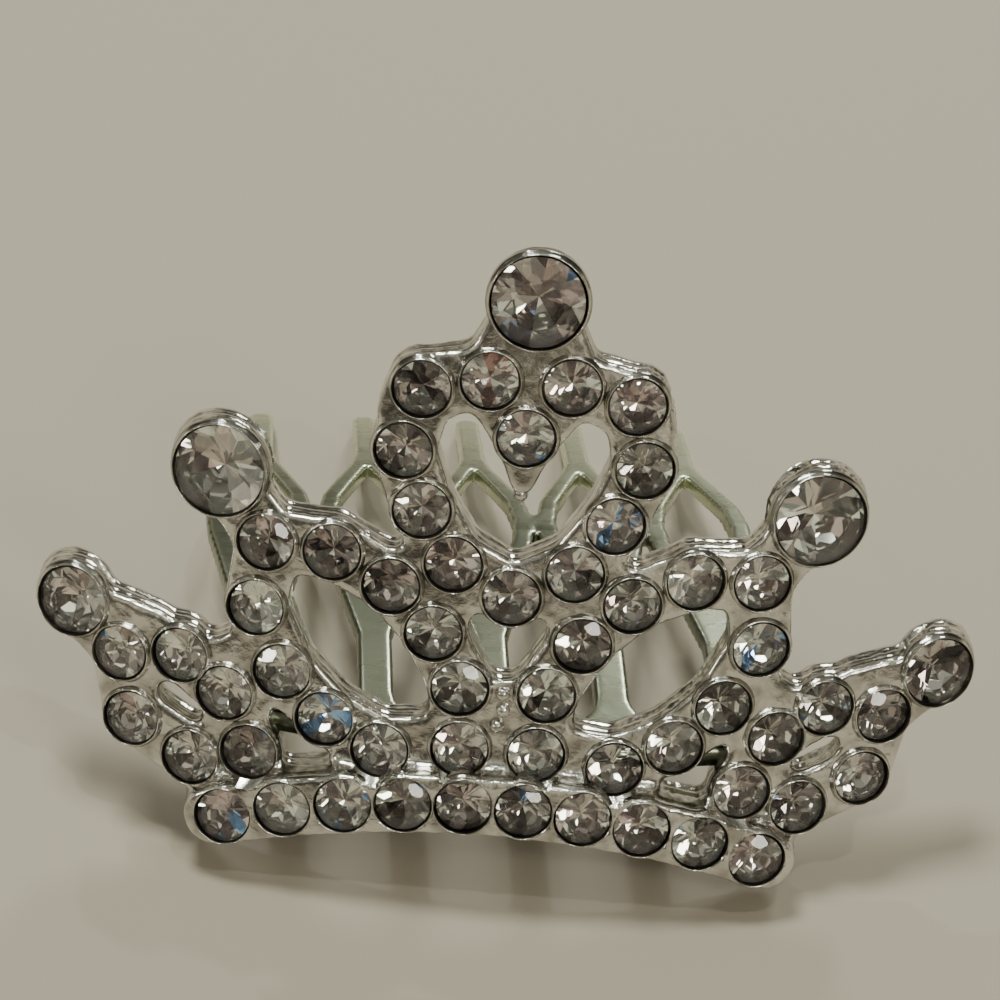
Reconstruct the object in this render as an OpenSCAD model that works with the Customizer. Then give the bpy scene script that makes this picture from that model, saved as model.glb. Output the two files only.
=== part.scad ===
// Small tiara on a hair comb: a cast frame of round cups, swept back at both
// sides, a straight base bar in front of its foot, and a stamped comb behind.
// The tiara's own plane has x across, y up the tiara and z out of its front.
// It stands on the ends of its base bar and on the tips of the comb's teeth.

/* [Tiara] */
// Distance from the middle to the centre of a wing tip stone
half_span = 22; // [20:0.5:26]
// Height of the top stone's centre above the middle of the base row
crown_rise = 26; // [24:0.5:30]
// Radius of the curve that sweeps both wings back
sweep_r = 65; // [50:1:120]
// Angle at which the tiara leans back over its comb
lean_angle = 20; // [10:1:28]
// Depth of the cast frame from front to back
frame_t = 2.2; // [2:0.1:3]
// Width of the metal that links two cups
link_w = 2.8; // [2:0.1:3]
// Widest gap between two stones that a link still bridges
link_gap = 1.3; // [1.2:0.05:1.4]

/* [Stones] */
// Diameter of the small stones
small_d = 2.8; // [2.4:0.05:2.9]
// Diameter of the stone at each wing tip
wing_tip_d = 3.6; // [3:0.1:4]
// Diameter of the three large stones
large_d = 4.6; // [4:0.1:4.8]
// Play between a stone and its cup
stone_play = 0.05; // [0.02:0.01:0.1]
// Wall of the raised rim around a stone
rim_wall = 0.1; // [0.08:0.01:0.14]
// Height of a rim above the frame's front
rim_h = 0.3; // [0.1:0.05:0.5]
// Metal outside a cup's rim
cup_margin = 0.12; // [0.1:0.01:0.2]
// Depth of a stone's girdle below the top of its rim
girdle_drop = 0.18; // [0.1:0.02:0.28]
// Height of a stone's crown as a share of its diameter
crown_share = 0.15; // [0.1:0.01:0.2]
// Depth of a stone's pavilion as a share of its diameter
pavilion_share = 0.38; // [0.3:0.01:0.4]
// Width of a stone's table as a share of its diameter
table_share = 0.56; // [0.4:0.02:0.7]

// Radius of the metal round the two upper stones on each side of the heart
lobe_r = 2.05; // [1.9:0.05:2.2]
// Radius of the web that fills each corner between a wing and its loop
side_web_r = 1.5; // [1.3:0.05:1.7]

/* [Base bar] */
// Distance between two stones of the base row
bar_pitch = 3.02; // [3:0.01:3.3]
// Number of stones on each side of the base row's middle
bar_half_count = 5; // [3:1:6]
// Radius of the arch of the base row
bar_arch_r = 42; // [30:1:80]
// Height of the bar's straight strip
bar_w = 3.1; // [2.9:0.1:3.2]
// Distance from the last stone to the end of the bar
bar_end = 1.9; // [1.7:0.1:2.4]
// How far the bar stands in front of the frame
bar_step = 1.5; // [1:0.1:2.2]

/* [Comb] */
// Distance between two teeth of the comb
tooth_pitch = 6.1; // [5.6:0.1:6.6]
// Number of teeth
teeth = 5; // [3:1:6]
// Length of the comb from its root to the tips of its teeth
comb_len = 38; // [34:0.5:44]
// Depth of the comb's solid spine
spine_d = 4; // [3.4:0.1:5]
// Thickness of the comb's sheet
comb_t = 0.9; // [0.7:0.05:1.2]
// Width of the strip that carries a tooth
strip_w = 1.8; // [1.4:0.1:2.4]
// Width of the metal on each side of a tooth's eye
leg_w = 1.3; // [0.9:0.1:1.5]
// Width of a tooth's prong
prong_w = 1.4; // [1:0.1:1.6]
// Length of a tooth's solid prong beyond its eye
prong_len = 8.6; // [6:0.1:10]
// Length of a tooth's eye
eye_len = 14; // [12:0.5:15]
// Width of an eye at its outer end
eye_tip_w = 0.8; // [0.4:0.1:1]
// Radius of the comb's curve along its teeth
comb_curve_r = 100; // [80:5:200]
// Height of the comb's root above the middle of the base row
comb_seat_h = 1; // [0:0.1:2]
// Distance of the comb's root behind the middle of the tiara's front
comb_back = -0.6; // [-1:0.1:0.4]
// Sideways shift of the comb's root
comb_shift = 0.2; // [-1:0.1:2]
// Angle by which the comb is soldered askew
comb_skew = 4.5; // [0:0.5:10]

/* [Drop] */
// Length of the pointed tip under the drop stone
drop_tip_len = 3.3; // [2.8:0.1:3.6]
// Diameter of the bead at the drop's point
drop_bead_d = 0.8; // [0.6:0.05:1]
// Diameter of the beads over the middle of the base
bead_d = 0.75; // [0.6:0.05:0.9]

/* [Hidden] */
// Columns of the tables of stones: shares of half_span and of crown_rise
X = 0;
H = 1;
// Columns of a worked out spot: x, height, stone diameter
D = 2;

top_row = [0, 1];
drop_row = [0, 0.737];
upper_row = [0.675, 0.6];
wing_tip_row = [1, 0.28];
heart_foot_row = [0, 0.417];

// Right half of the heart, from its foot up to its top
heart_rows = [
    [0.136, 0.474],
    [0.216, 0.576],
    [0.268, 0.690],
    [0.238, 0.814],
    [0.090, 0.842],
];

// Right loop, from its top beside the heart outwards and round
loop_rows = [
    [0.271, 0.417],
    [0.408, 0.471],
    [0.559, 0.472],
    [0.573, 0.337],
    [0.503, 0.214],
    [0.400, 0.128],
    [0.268, 0.078],
    [0.087, 0.098],
    [0.098, 0.223],
    [0.168, 0.330],
];

// Right wing, top edge outwards and then lower edge inwards
wing_rows = [
    [0.632, 0.150],
    [0.740, 0.213],
    [0.880, 0.193],
    [0.846, 0.062],
    [0.703, 0.003],
    [0.567, 0.036],
];

// Beads on the web between the loops: shares of a bead's diameter from the web's middle
bead_rows = [[0, 2], [0.1, 0.85], [-0.2, -0.35]];

// Middle of the web between the right wing and the right loop
side_web_row = [0.632, 0.238];
// The heart's rows along its upper edge
lobe_row_nos = [3, 4];

// The loop's two rows that stand beside the middle line, at its base and at its neck
base_row_no = 7;
neck_row_no = 8;

heart_count = 2 * len(heart_rows) + 1;
loop_count = len(loop_rows);

function spot(row, side, d) = [side * row[X] * half_span, row[H] * crown_rise, d];

function spots(rows, side) = [for (row = rows) spot(row, side, small_d)];

function reversed(list) = [for (i = [len(list) - 1 : -1 : 0]) list[i]];

top_spot = spot(top_row, 1, large_d);
drop_spot = spot(drop_row, 1, small_d);
// The heart's stones go round from its foot, up the right side and down the left
heart_spots = concat(
    [spot(heart_foot_row, 1, small_d)],
    spots(heart_rows, 1),
    reversed(spots(heart_rows, -1))
);

frame_spots = concat(
    [top_spot, drop_spot],
    [for (side = [-1, 1]) spot(upper_row, side, large_d)],
    [for (side = [-1, 1]) spot(wing_tip_row, side, wing_tip_d)],
    heart_spots,
    [for (side = [-1, 1]) each spots(loop_rows, side)],
    [for (side = [-1, 1]) each spots(wing_rows, side)]
);

function bar_arch(x) = sqrt(bar_arch_r * bar_arch_r - x * x) - bar_arch_r;

bar_spots = [for (i = [-bar_half_count : bar_half_count - 1])
    let (x = (i + 0.5) * bar_pitch) [x, bar_arch(x), small_d]];

bar_half = (bar_half_count - 0.5) * bar_pitch + bar_end;

function rim_r(d) = d / 2 + stone_play + rim_wall;
function cup_r(d) = rim_r(d) + cup_margin;
function seat_r(d) = d / 2 + stone_play;
function gap(a, b) = norm([b[X] - a[X], b[H] - a[H]]) - (a[D] + b[D]) / 2;

// Depth of a surface that stands out by this much from the swept front
function swept_z(x, out) = sqrt(pow(sweep_r + out, 2) - x * x) - sweep_r;

// Lowest point of the bar: the back lower edge of its ends
bar_foot_h = sqrt(pow(bar_arch_r - bar_w / 2, 2) - bar_half * bar_half) - bar_arch_r;
stand_h = -bar_foot_h * cos(lean_angle) - swept_z(bar_half, -frame_t) * sin(lean_angle);

comb_root_h = stand_h + comb_seat_h;
comb_slope = asin(comb_root_h / comb_len);
comb_w = teeth * tooth_pitch;
slot_w = tooth_pitch - strip_w;
eye_end = comb_len - prong_len;
eye_start = eye_end - eye_len;
// Place along a tooth where its legs meet its neighbours', and where its strip begins to spread
node_y = eye_end - 0.45 * eye_len;
flare_y = eye_start - 2.4 * strip_w;

reach = 200;
overlap = 0.02;
round_fn = 48;
sweep_fn = 360;

// Stands the tiara's plane up, leaning back, on the floor
module stand() {
    translate([0, 0, stand_h]) rotate([90 - lean_angle, 0, 0]) children();
}

// Puts something on the swept front, or out from it, facing outwards
module on_front(s, out = 0) {
    translate([s[X], s[H], swept_z(s[X], out)])
        rotate([0, asin(s[X] / (sweep_r + out)), 0])
            children();
}

// Upright cylinder about the axis of the sweep
module sweep_cylinder(r, grow = 0) {
    translate([0, -reach / 2 - grow, -sweep_r])
        rotate([-90, 0, 0])
            cylinder(r = r, h = reach + 2 * grow, $fn = sweep_fn);
}

module swept_shell(out, t) {
    difference() {
        sweep_cylinder(sweep_r + out);
        sweep_cylinder(sweep_r + out - t, 1);
    }
}

// Flat shape cut out of a swept shell
module swept_plate(out, t) {
    intersection() {
        translate([0, 0, -reach / 10])
            linear_extrude(height = reach / 5)
                children();
        swept_shell(out, t);
    }
}

module link(a, b) {
    run = norm([b[X] - a[X], b[H] - a[H]]);
    translate([a[X], a[H]])
        rotate(atan2(b[H] - a[H], b[X] - a[X]))
            translate([0, -link_w / 2])
                square([run, link_w]);
}

// Outline of the cast frame: a disc at each cup and links between neighbours
module frame_outline() {
    for (s = frame_spots) disc_at(s, cup_r(s[D]));
    for (i = [0 : len(frame_spots) - 2])
        for (j = [i + 1 : len(frame_spots) - 1])
            if (gap(frame_spots[i], frame_spots[j]) < link_gap)
                link(frame_spots[i], frame_spots[j]);
    for (side = [-1, 1]) {
        for (no = lobe_row_nos) disc_at(spot(heart_rows[no], side, small_d), lobe_r);
        disc_at(spot(side_web_row, side, small_d), side_web_r);
    }
    disc_at([0, bead_web_h], bead_web_r);
    drop_tip_outline();
}

module disc_at(s, r) {
    translate([s[X], s[H]]) circle(r = r, $fn = round_fn);
}

module drop_tip_outline() {
    half = cup_r(small_d) * 0.85;
    translate([0, drop_spot[H]])
        polygon([[-half, -half / 2], [half, -half / 2],
                 [0.2, -drop_tip_len], [-0.2, -drop_tip_len]]);
}

bead_web_h = (loop_rows[base_row_no][H] + loop_rows[neck_row_no][H]) / 2 * crown_rise;
bead_web_r = loop_rows[neck_row_no][X] * half_span;

// Strip that follows the arch of the base row, with a scallop at each stone
module bar_outline() {
    intersection() {
        translate([0, -bar_arch_r]) difference() {
            circle(r = bar_arch_r + bar_w / 2, $fn = sweep_fn);
            circle(r = bar_arch_r - bar_w / 2, $fn = sweep_fn);
        }
        translate([-bar_half, -bar_arch_r / 2])
            square([2 * bar_half, bar_arch_r]);
    }
    for (s = bar_spots) disc_at(s, cup_r(s[D]));
}

module rim(s) {
    on_front(s)
        translate([0, 0, -rim_h])
            cylinder(r = rim_r(s[D]), h = 2 * rim_h, $fn = round_fn);
}

// Blind seat for a stone whose girdle lies at this height over the surface
module seat(s, out, girdle_z) {
    on_front(s, out)
        translate([0, 0, girdle_z - pavilion_share * s[D] - stone_play])
            cylinder(r = seat_r(s[D]), h = s[D] + rim_h + bar_step, $fn = round_fn);
}

// Beads on the frame's front, and the one at the drop's point
module beads() {
    on_front([0, drop_spot[H] - drop_tip_len], -frame_t / 2)
        sphere(d = drop_bead_d, $fn = 24);
    for (row = bead_rows)
        on_front([row[X] * bead_d, bead_web_h + row[H] * bead_d], bead_d * 0.1)
            sphere(d = bead_d, $fn = 24);
}

frame_girdle_z = rim_h - girdle_drop;
bar_girdle_z = -girdle_drop;

// One tooth: a strip that spreads into two legs round an eye, and closes to a prong
module tooth_outline() {
    strip = strip_w / 2;
    prong = prong_w / 2;
    half = tooth_pitch / 2 + overlap;
    eye = tooth_pitch / 2 - leg_w;
    tip_y = comb_len - prong;
    difference() {
        polygon([
            [-strip, spine_d], [strip, spine_d], [strip, flare_y],
            [half, node_y - prong], [half, node_y + prong],
            [prong, eye_end + prong_w], [prong, tip_y], [-prong, tip_y], [-prong, eye_end + prong_w],
            [-half, node_y + prong], [-half, node_y - prong], [-strip, flare_y]
        ]);
        polygon([
            [0, eye_start], [eye, node_y - prong / 2], [eye, node_y + prong / 2],
            [eye_tip_w / 2, eye_end], [-eye_tip_w / 2, eye_end],
            [-eye, node_y + prong / 2], [-eye, node_y - prong / 2]
        ]);
    }
    translate([0, tip_y]) circle(d = prong_w, $fn = round_fn);
}

// The comb's spine, with a round root between each two strips
module spine_outline() {
    half = (teeth - 1) / 2 * tooth_pitch + strip_w / 2;
    root_y = spine_d + slot_w / 2;
    difference() {
        translate([-half, 0]) square([2 * half, root_y]);
        for (i = [1 : teeth - 1])
            translate([(i - teeth / 2) * tooth_pitch, root_y]) circle(d = slot_w, $fn = round_fn);
    }
}

module comb_outline() {
    spine_outline();
    for (i = [0 : teeth - 1])
        translate([(i - (teeth - 1) / 2) * tooth_pitch, 0]) tooth_outline();
}

// Curved sheet whose underside meets z = 0 at the root and at the tips
module comb_sheet() {
    depth = sqrt(pow(comb_curve_r, 2) - pow(comb_len / 2, 2));
    intersection() {
        translate([0, 0, -comb_t * 2]) linear_extrude(height = comb_len / 3) comb_outline();
        translate([-comb_w, comb_len / 2, -depth]) rotate([0, 90, 0]) difference() {
            cylinder(r = comb_curve_r + comb_t, h = 2 * comb_w, $fn = sweep_fn);
            translate([0, 0, -1])
                cylinder(r = comb_curve_r, h = 2 * comb_w + 2, $fn = sweep_fn);
        }
    }
}

// The comb, cut at its root to follow the back of the frame
module comb() {
    intersection() {
        translate([comb_shift, comb_back, comb_root_h])
            rotate([0, 0, comb_skew])
                rotate([-comb_slope, 0, 0])
                    comb_sheet();
        stand() sweep_cylinder(sweep_r - frame_t / 2);
    }
}

module silver_frame() {
    color("silver") {
        stand() difference() {
            union() {
                swept_plate(0, frame_t) frame_outline();
                swept_plate(bar_step, frame_t + bar_step) bar_outline();
                for (s = frame_spots) rim(s);
                beads();
            }
            for (s = frame_spots) seat(s, 0, frame_girdle_z);
            for (s = bar_spots) seat(s, bar_step, bar_girdle_z);
        }
        comb();
    }
}

// Round cut stone: eight-sided table, crown of facets, thin girdle, pointed back
module cut_stone(d) {
    sides = 16;
    r = d / 2;
    girdle_t = d * 0.03;
    girdle = [for (j = [0 : sides - 1]) let (a = j * 360 / sides) [r * cos(a), r * sin(a)]];
    table = [for (k = [0 : sides / 2 - 1]) let (a = (k + 0.5) * 720 / sides)
        [table_share * r * cos(a), table_share * r * sin(a), crown_share * d]];
    points = concat(
        [for (p = girdle) [p[0], p[1], 0]],
        [for (p = girdle) [p[0], p[1], -girdle_t]],
        table,
        [[0, 0, -pavilion_share * d]]
    );
    t0 = 2 * sides;
    tip = t0 + sides / 2;
    crown = [for (k = [0 : sides / 2 - 1]) each [
        [t0 + k, t0 + (k + sides / 2 - 1) % (sides / 2), 2 * k],
        [t0 + k, 2 * k, 2 * k + 1],
        [t0 + k, 2 * k + 1, (2 * k + 2) % sides]
    ]];
    band = [for (j = [0 : sides - 1]) [j, sides + j, sides + (j + 1) % sides, (j + 1) % sides]];
    pavilion = [for (j = [0 : sides - 1]) [sides + j, tip, sides + (j + 1) % sides]];
    faces = concat([[for (k = [0 : sides / 2 - 1]) t0 + k]], crown, band, pavilion);
    polyhedron(points = points, faces = [for (f = faces) reversed(f)], convexity = 2);
}

module frame_stone(s) {
    color("thistle") stand() on_front(s) translate([0, 0, frame_girdle_z]) cut_stone(s[D]);
}

module bar_stone(s) {
    color("thistle") stand() on_front(s, bar_step)
        translate([0, 0, bar_girdle_z]) cut_stone(s[D]);
}

module top_stone() { frame_stone(top_spot); }
module drop_stone() { frame_stone(drop_spot); }
module upper_stone(side) { frame_stone(spot(upper_row, side, large_d)); }
module wing_tip_stone(side) { frame_stone(spot(wing_tip_row, side, wing_tip_d)); }
module heart_stone(i) { frame_stone(heart_spots[i - 1]); }
module loop_stone(side, i) { frame_stone(spot(loop_rows[i - 1], side, small_d)); }
module base_row_stones() { for (s = bar_spots) bar_stone(s); }
module wing_stones(side) { for (s = spots(wing_rows, side)) frame_stone(s); }

silver_frame();
top_stone();
upper_stone(-1);  // upper_left_stone
upper_stone(1);  // upper_right_stone
wing_tip_stone(-1);  // wing_tip_left_stone
wing_tip_stone(1);  // wing_tip_right_stone
drop_stone();
for (i = [1 : heart_count])
    heart_stone(i);
for (i = [1 : loop_count])
    loop_stone(-1, i);
for (i = [1 : loop_count])
    loop_stone(1, i);
base_row_stones();
wing_stones(-1);  // left_wing_stones
wing_stones(1);  // right_wing_stones
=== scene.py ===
import logging
import math
import random
from collections.abc import Callable, Sequence
from dataclasses import dataclass
from enum import Enum

import bmesh
import bpy
import numpy as np
from mathutils import Matrix, Vector, noise


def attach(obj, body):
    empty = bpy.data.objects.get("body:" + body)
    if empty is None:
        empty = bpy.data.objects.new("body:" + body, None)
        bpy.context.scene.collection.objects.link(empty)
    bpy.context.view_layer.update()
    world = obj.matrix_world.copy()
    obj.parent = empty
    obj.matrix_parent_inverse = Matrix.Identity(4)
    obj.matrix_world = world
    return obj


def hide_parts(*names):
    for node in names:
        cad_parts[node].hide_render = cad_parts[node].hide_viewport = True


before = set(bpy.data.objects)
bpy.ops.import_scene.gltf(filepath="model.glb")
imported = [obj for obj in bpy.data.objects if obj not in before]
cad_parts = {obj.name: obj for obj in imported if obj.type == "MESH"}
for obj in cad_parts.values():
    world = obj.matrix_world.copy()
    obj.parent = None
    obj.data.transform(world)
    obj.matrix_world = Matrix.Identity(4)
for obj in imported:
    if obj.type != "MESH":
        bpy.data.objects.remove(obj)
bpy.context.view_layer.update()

# Everything here is worked out in millimetres in the tiara's own plane, with x across, y up the
# tiara and z out of its front, as in the part's source. The last step of each piece stands it on
# the floor and turns it into metres.

LOG = logging.getLogger("tiara_comb")
MM = 0.001
SEED = 29
TINT_LAYER = "facet_tint"

Colour = tuple[float, float, float]
Row = tuple[float, float]
Rows = tuple[tuple[float, ...], ...]


class Side(Enum):
    """A half of the tiara, seen from its front."""

    LEFT = -1
    RIGHT = 1

    @property
    def word(self) -> str:
        """The side's name, as the CAD nodes spell it."""
        return self.name.lower()


class Surface(Enum):
    """The two fronts that carry stones, by how far each stands out in millimetres."""

    FRAME = 0.0
    BAR = 1.5


class Cut(Enum):
    """Which part of a piece a cut leaves, by the name of the boolean operation."""

    OUTSIDE = "DIFFERENCE"
    INSIDE = "INTERSECT"


@dataclass(frozen=True)
class BaseBar:
    """The arched bar at the tiara's foot, in millimetres."""

    arch_r: float = 42.0
    width: float = 3.1
    pitch: float = 3.02
    half_count: int = 5
    end: float = 1.9

    @property
    def half(self) -> float:
        """Half of the bar's width across the tiara."""
        return (self.half_count - 0.5) * self.pitch + self.end

    def height(self, x: float, out: float = 0.0) -> float:
        """Height at x of an arc that runs this far above the bar's middle line."""
        return math.sqrt((self.arch_r + out) ** 2 - x * x) - self.arch_r


@dataclass(frozen=True)
class TiaraPlane:
    """The swept plane that every cup, link and stone is laid out on.

    Lengths are in millimetres and the angle is in degrees.
    """

    bar: BaseBar = BaseBar()
    sweep_r: float = 65.0
    lean_angle: float = 20.0
    frame_t: float = 2.2

    @property
    def stand_h(self) -> float:
        """Finds how high the plane's origin stands above the floor.

        Returns:
            The height at which the two lower ends of the bar's back touch the floor.
        """
        lean = math.radians(self.lean_angle)
        foot = self.bar.height(self.bar.half, -self.bar.width / 2)
        return -foot * math.cos(lean) - self.swept_z(self.bar.half, -self.frame_t) * math.sin(lean)

    def swept_z(self, x: float, out: float) -> float:
        """Depth at x of a surface that stands out this far from the swept front."""
        return math.sqrt((self.sweep_r + out) ** 2 - x * x) - self.sweep_r

    def sweep(self, point: Vector) -> Vector:
        """Bends a flat point, whose z is its distance out of the front, round the sweep."""
        return Vector((point.x, point.y, self.swept_z(point.x, point.z)))

    def on_front(self, x: float, height: float, out: float) -> Matrix:
        """Places something on a front surface, facing straight out of it.

        Args:
            x: distance across from the middle.
            height: distance up the tiara from the middle of its base row.
            out: how far the surface stands out from the swept front.

        Returns:
            The matrix from the thing's own millimetres to the plane's.
        """
        turn = math.asin(x / (self.sweep_r + out))
        return Matrix.Translation((x, height, self.swept_z(x, out))) @ Matrix.Rotation(turn, 4, "Y")

    @property
    def stand(self) -> Matrix:
        """From the plane's millimetres to the world's metres, leaning back on the floor."""
        tilt = Matrix.Rotation(math.radians(90 - self.lean_angle), 4, "X")
        return Matrix.Scale(MM, 4) @ Matrix.Translation((0, 0, self.stand_h)) @ tilt


@dataclass(frozen=True)
class StoneSpot:
    """One stone's place: across, up, its diameter and the surface that carries it."""

    x: float
    height: float
    diameter: float
    surface: Surface = Surface.FRAME

    @property
    def flat(self) -> Vector:
        """The stone's place before the plane sweeps back."""
        return Vector((self.x, self.height, 0))

    def matrix(self, plane: TiaraPlane) -> Matrix:
        """From the stone's own millimetres to the plane's."""
        return plane.on_front(self.x, self.height, self.surface.value)


@dataclass(frozen=True)
class StoneLayout:
    """The tables of stones, as shares of the half span and of the crown's rise.

    Lengths are in millimetres. The loop rows at base_row_no and neck_row_no stand beside the
    middle line, at the loop's base and at its neck.
    """

    plane: TiaraPlane
    half_span: float = 22.0
    crown_rise: float = 26.0
    small_d: float = 2.8
    wing_tip_d: float = 3.6
    large_d: float = 4.6
    rim_h: float = 0.3
    girdle_drop: float = 0.23
    base_row_no: int = 7
    neck_row_no: int = 8
    top_row: Row = (0, 1)
    upper_row: Row = (0.675, 0.6)
    wing_tip_row: Row = (1, 0.28)
    drop_row: Row = (0, 0.737)
    heart_foot_row: Row = (0, 0.417)
    heart_rows: tuple[Row, ...] = (
        (0.136, 0.474), (0.216, 0.576), (0.268, 0.690), (0.238, 0.814), (0.090, 0.842),
    )
    loop_rows: tuple[Row, ...] = (
        (0.271, 0.417), (0.408, 0.471), (0.559, 0.472), (0.573, 0.337), (0.503, 0.214),
        (0.400, 0.128), (0.268, 0.078), (0.087, 0.098), (0.098, 0.223), (0.168, 0.330),
    )
    wing_rows: tuple[Row, ...] = (
        (0.632, 0.150), (0.740, 0.213), (0.880, 0.193), (0.846, 0.062), (0.703, 0.003), (0.567, 0.036),
    )

    @property
    def top(self) -> StoneSpot:
        """The stone at the top of the heart."""
        return self.spot(self.top_row, Side.RIGHT, self.large_d)

    @property
    def drop(self) -> StoneSpot:
        """The stone that hangs in the heart's V."""
        return self.spot(self.drop_row, Side.RIGHT, self.small_d)

    @property
    def web_height(self) -> float:
        """Height of the middle of the web between the two loops."""
        (_, base), (_, neck) = self.loop_rows[self.base_row_no], self.loop_rows[self.neck_row_no]
        return (base + neck) / 2 * self.crown_rise

    @property
    def web_r(self) -> float:
        """Radius of that web, which reaches the middles of the stones beside it."""
        return self.loop_rows[self.neck_row_no][0] * self.half_span

    def spot(self, row: Row, side: Side, diameter: float) -> StoneSpot:
        """A stone on the frame from its row of shares."""
        return StoneSpot(side.value * row[0] * self.half_span, row[1] * self.crown_rise, diameter)

    def small(self, rows: tuple[Row, ...], side: Side) -> list[StoneSpot]:
        """Small stones on one side, one for each row."""
        return [self.spot(row, side, self.small_d) for row in rows]

    def rim_top(self, surface: Surface) -> float:
        """Height of the rims over a surface. The bar's own front is level with its rims."""
        return self.rim_h if surface is Surface.FRAME else 0.0

    def girdle(self, surface: Surface) -> float:
        """Height of the stones' girdles over a surface."""
        return self.rim_top(surface) - self.girdle_drop

    def bar_row(self) -> list[StoneSpot]:
        """Lays out the stones along the arched base bar.

        Returns:
            The spots from left to right.
        """
        bar = self.plane.bar
        places = [(i + 0.5) * bar.pitch for i in range(-bar.half_count, bar.half_count)]
        return [StoneSpot(x, bar.height(x), self.small_d, Surface.BAR) for x in places]

    def by_node(self) -> dict[str, list[StoneSpot]]:
        """Lists every stone under the CAD node that holds it.

        Returns:
            The spots by the node's name, in the order in which the stones are cut.
        """
        nodes = {"top_stone": [self.top]}
        for side in Side:
            nodes[f"upper_{side.word}_stone"] = [self.spot(self.upper_row, side, self.large_d)]
        for side in Side:
            nodes[f"wing_tip_{side.word}_stone"] = [self.spot(self.wing_tip_row, side, self.wing_tip_d)]
        nodes["drop_stone"] = [self.drop]
        foot = self.spot(self.heart_foot_row, Side.RIGHT, self.small_d)
        left_heart, right_heart = (self.small(self.heart_rows, side) for side in Side)
        for number, spot in enumerate([foot, *right_heart, *reversed(left_heart)], start=1):
            nodes[f"heart_stone_{number}"] = [spot]
        for side in Side:
            for number, spot in enumerate(self.small(self.loop_rows, side), start=1):
                nodes[f"{side.word}_loop_stone_{number}"] = [spot]
            nodes[f"{side.word}_wing_stones"] = self.small(self.wing_rows, side)
        nodes["base_row_stones"] = self.bar_row()
        return nodes

    def on_frame(self) -> list[StoneSpot]:
        """Every stone that sits on the swept frame itself."""
        return [s for spots in self.by_node().values() for s in spots if s.surface is Surface.FRAME]


def waves(point: Vector, rows: Rows) -> float:
    """Adds up layers of noise at a point, one for each row of a scale and a height."""
    return sum(noise.noise(point * scale) * height for scale, height in rows)


def disc(
    mesh: bmesh.types.BMesh, place: Matrix, radius: float, low: float, high: float, steps: int = 40
) -> None:
    """Adds an upright cylinder to a mesh.

    Args:
        mesh: the mesh that it joins.
        place: from the cylinder's own millimetres to the mesh's.
        radius: its radius.
        low: height of its foot.
        high: height of its top.
        steps: number of sides.
    """
    lift = Matrix.Translation((0, 0, (low + high) / 2))
    bmesh.ops.create_cone(
        mesh, cap_ends=True, segments=steps, radius1=radius, radius2=radius, depth=high - low,
        matrix=place @ lift
    )


def prism(mesh: bmesh.types.BMesh, corners: list[Vector], low: float, high: float) -> None:
    """Adds a solid that rises straight up from a flat outline.

    Args:
        mesh: the mesh that it joins.
        corners: the outline's corners, in order.
        low: height of its foot.
        high: height of its top.
    """
    foot = mesh.faces.new([mesh.verts.new((corner.x, corner.y, low)) for corner in corners])
    grown = bmesh.ops.extrude_face_region(mesh, geom=[foot])
    tops = [v for v in grown["geom"] if isinstance(v, bmesh.types.BMVert)]
    bmesh.ops.translate(mesh, verts=tops, vec=(0, 0, high - low))


def tapered(radius: float, foot_r: float, low: float, shoulder: float, high: float) -> bmesh.types.BMesh:
    """An upright cylinder whose part below a shoulder narrows to its foot.

    Args:
        radius: radius above the shoulder.
        foot_r: radius of the foot.
        low: height of the foot.
        shoulder: height where it starts to narrow.
        high: height of the top.

    Returns:
        A closed mesh.
    """
    mesh = bmesh.new()
    disc(mesh, Matrix.Identity(4), radius, low, high, steps=48)
    geometry = mesh.verts[:] + mesh.edges[:] + mesh.faces[:]
    bmesh.ops.bisect_plane(mesh, geom=geometry, plane_co=(0, 0, shoulder), plane_no=(0, 0, 1))
    shrink = Vector((foot_r / radius, foot_r / radius, 1))
    for vertex in mesh.verts:
        if vertex.co.z < (low + shoulder) / 2:
            vertex.co *= shrink
    return mesh


def slab(mesh: bmesh.types.BMesh, a: Vector, b: Vector, width: float, low: float, high: float) -> None:
    """Adds a straight bar of metal between two flat points.

    Args:
        mesh: the mesh that it joins.
        a: the bar's first end.
        b: the bar's second end.
        width: its width across the run.
        low: depth of its back.
        high: depth of its front.
    """
    run = b - a
    turn = Matrix.Rotation(math.atan2(run.y, run.x), 4, "Z")
    middle = (a + b) / 2
    size = Matrix.Diagonal((run.length, width, high - low, 1))
    lift = Matrix.Translation((middle.x, middle.y, (low + high) / 2))
    bmesh.ops.create_cube(mesh, size=1, matrix=lift @ turn @ size)


def lathe(profile: list[Row], steps: int) -> bmesh.types.BMesh:
    """Turns a closed profile round the z axis.

    Args:
        profile: radius and height of each corner, in order round the section.
        steps: number of steps in the full turn.

    Returns:
        A closed mesh with its faces outwards.
    """
    mesh = bmesh.new()
    corners = [mesh.verts.new((radius, 0, height)) for radius, height in profile]
    edges = [mesh.edges.new((a, b)) for a, b in zip(corners, corners[1:] + corners[:1])]
    bmesh.ops.spin(
        mesh, geom=corners + edges, cent=(0, 0, 0), axis=(0, 0, 1), angle=2 * math.pi, steps=steps,
        use_merge=True
    )
    bmesh.ops.remove_doubles(mesh, verts=mesh.verts, dist=1e-5)
    bmesh.ops.recalc_face_normals(mesh, faces=mesh.faces)
    return mesh


def move_into(target: bmesh.types.BMesh, source: bmesh.types.BMesh, place: Matrix) -> None:
    """Adds one mesh to another in its place, and frees it.

    Args:
        target: the mesh that it joins.
        source: the mesh to add.
        place: from the source's millimetres to the target's.
    """
    holder = bpy.data.meshes.new("copy")
    source.to_mesh(holder)
    source.free()
    holder.transform(place)
    target.from_mesh(holder)
    bpy.data.meshes.remove(holder)


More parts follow.
